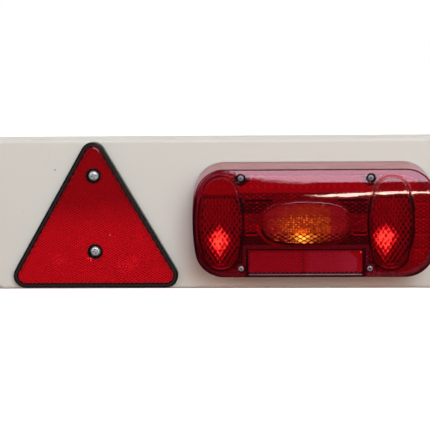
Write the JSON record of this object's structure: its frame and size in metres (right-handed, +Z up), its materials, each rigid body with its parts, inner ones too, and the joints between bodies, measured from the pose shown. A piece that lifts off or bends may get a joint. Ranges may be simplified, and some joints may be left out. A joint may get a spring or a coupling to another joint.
{
  "type": "trailer lighting board",
  "caption": "Long white plastic channel board with a red rear lamp and a red triangular reflector at each end, for carrying a trailer's rear lights.",
  "frame": {"origin": "centre of the rear plane of the board's lips, which is the centre of the rear fixing holes", "axes": "+X along the board towards the right-hand lamp as seen from behind the trailer, -Y out of the face that carries the lamps, +Z up"},
  "size_m": [1.37, 0.0766, 0.14],
  "materials": {
    "board_plastic": "satin off-white extruded plastic",
    "seal_rubber": "black moulded rubber",
    "base_plastic": "black moulded plastic",
    "lamp_red": "clear red moulded lens with fine optics",
    "lamp_amber": "clear amber moulded lens with fine optics",
    "reflex_red": "red prism plate",
    "bright_reflector": "bright metallised plastic",
    "bulb_glass": "clear blown glass",
    "bulb_amber": "amber coated glass",
    "bulb_brass": "plain brass",
    "holder_plastic": "pale moulded plastic",
    "screw_steel": "zinc-plated steel",
    "triangle_black": "black moulded plastic",
    "triangle_red": "red prism plate"
  },
  "bodies": {
    "root": {"board": "board_plastic", "lamp_gasket_left": "seal_rubber", "lamp_gasket_right": "seal_rubber", "lamp_base_left": "base_plastic", "lamp_base_right": "base_plastic", "lamp_lens_left": "lamp_red", "lamp_lens_right": "lamp_red", "indicator_window_left": "lamp_amber", "indicator_window_right": "lamp_amber", "reflex_panel_left": "reflex_red", "reflex_panel_right": "reflex_red", "lamp_reflector_left": "bright_reflector", "lamp_reflector_right": "bright_reflector", "tail_bulb_left": "bulb_glass", "tail_bulb_right": "bulb_glass", "indicator_bulb_left": "bulb_amber", "indicator_bulb_right": "bulb_amber", "fog_bulb_left": "bulb_glass", "fog_bulb_right": "bulb_glass", "bulb_caps_left": "bulb_brass", "bulb_caps_right": "bulb_brass", "bulb_holders_left": "holder_plastic", "bulb_holders_right": "holder_plastic", "lens_screws_left": "screw_steel", "lens_screws_right": "screw_steel", "lamp_bolts_left": "screw_steel", "lamp_bolts_right": "screw_steel", "lamp_bolt_washers_left": "screw_steel", "lamp_bolt_washers_right": "screw_steel", "lamp_bolt_nuts_left": "screw_steel", "lamp_bolt_nuts_right": "screw_steel", "triangle_screws_left": "screw_steel", "triangle_screws_right": "screw_steel", "triangle_screw_washers_left": "screw_steel", "triangle_screw_washers_right": "screw_steel", "triangle_screw_nuts_left": "screw_steel", "triangle_screw_nuts_right": "screw_steel", "cable_grommet_left": "seal_rubber", "cable_grommet_right": "seal_rubber", "triangle_frame_left": "triangle_black", "triangle_frame_right": "triangle_black", "triangle_lens_left": "triangle_red", "triangle_lens_right": "triangle_red"}
  },
  "joints": []
}
